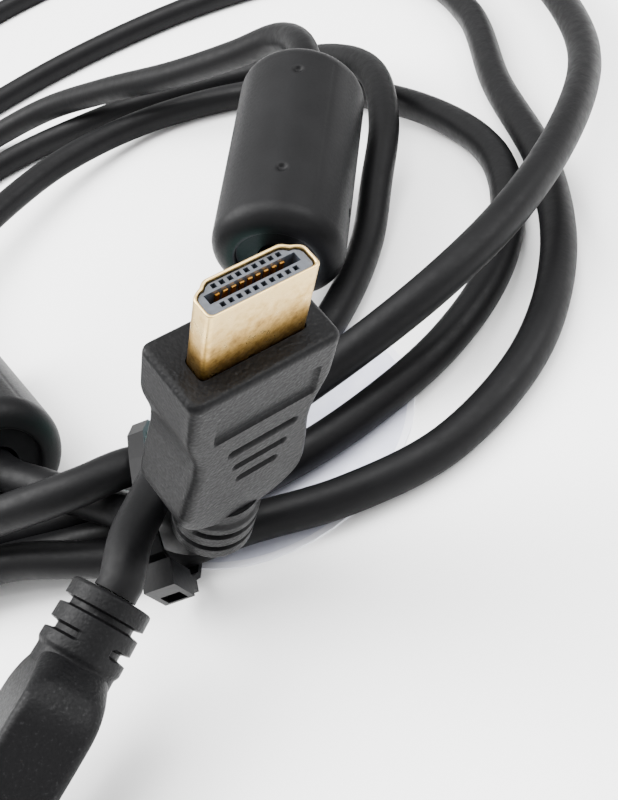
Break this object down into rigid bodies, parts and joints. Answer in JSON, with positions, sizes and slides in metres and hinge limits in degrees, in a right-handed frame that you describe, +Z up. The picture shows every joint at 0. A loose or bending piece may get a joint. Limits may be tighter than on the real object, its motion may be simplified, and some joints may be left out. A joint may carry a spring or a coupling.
{
  "type": "hdmi cable",
  "caption": "Round black video cable coiled in loose loops, with a metal-shelled plug at each end, moulded ferrite housings and a cable tie round the bundle.",
  "frame": {"origin": "centre of the floor footprint", "axes": "+Z up from the floor; -Y toward the side from which the plugs are seen"},
  "size_m": [0.2353, 0.3202, 0.0611],
  "materials": {
    "cord": "satin PVC jacket",
    "plug_body": "fine-grained moulded plastic",
    "ferrite_housing": "satin moulded plastic",
    "shell": "gold-coloured plate, brushed, brown tarnish near the body",
    "insulator": "blue-grey plastic",
    "contact": "gold plate",
    "cable_tie": "nylon",
    "label": "printed paper, pale with a teal segment"
  },
  "bodies": {
    "root": {"cord": "cord", "plug_a_shell": "shell", "plug_a_insulator": "insulator", "plug_a_body": "plug_body", "plug_a_contact_01": "contact", "plug_a_contact_02": "contact", "plug_a_contact_03": "contact", "plug_a_contact_04": "contact", "plug_a_contact_05": "contact", "plug_a_contact_06": "contact", "plug_a_contact_07": "contact", "plug_a_contact_08": "contact", "plug_a_contact_09": "contact", "plug_a_contact_10": "contact", "plug_a_contact_11": "contact", "plug_a_contact_12": "contact", "plug_a_contact_13": "contact", "plug_a_contact_14": "contact", "plug_a_contact_15": "contact", "plug_a_contact_16": "contact", "plug_a_contact_17": "contact", "plug_a_contact_18": "contact", "plug_a_contact_19": "contact", "plug_b_shell": "shell", "plug_b_insulator": "insulator", "plug_b_body": "plug_body", "plug_b_contact_01": "contact", "plug_b_contact_02": "contact", "plug_b_contact_03": "contact", "plug_b_contact_04": "contact", "plug_b_contact_05": "contact", "plug_b_contact_06": "contact", "plug_b_contact_07": "contact", "plug_b_contact_08": "contact", "plug_b_contact_09": "contact", "plug_b_contact_10": "contact", "plug_b_contact_11": "contact", "plug_b_contact_12": "contact", "plug_b_contact_13": "contact", "plug_b_contact_14": "contact", "plug_b_contact_15": "contact", "plug_b_contact_16": "contact", "plug_b_contact_17": "contact", "plug_b_contact_18": "contact", "plug_b_contact_19": "contact", "ferrite_housing_a": "ferrite_housing", "ferrite_housing_b": "ferrite_housing", "cable_tie": "cable_tie", "round_label": "label"}
  },
  "joints": []
}
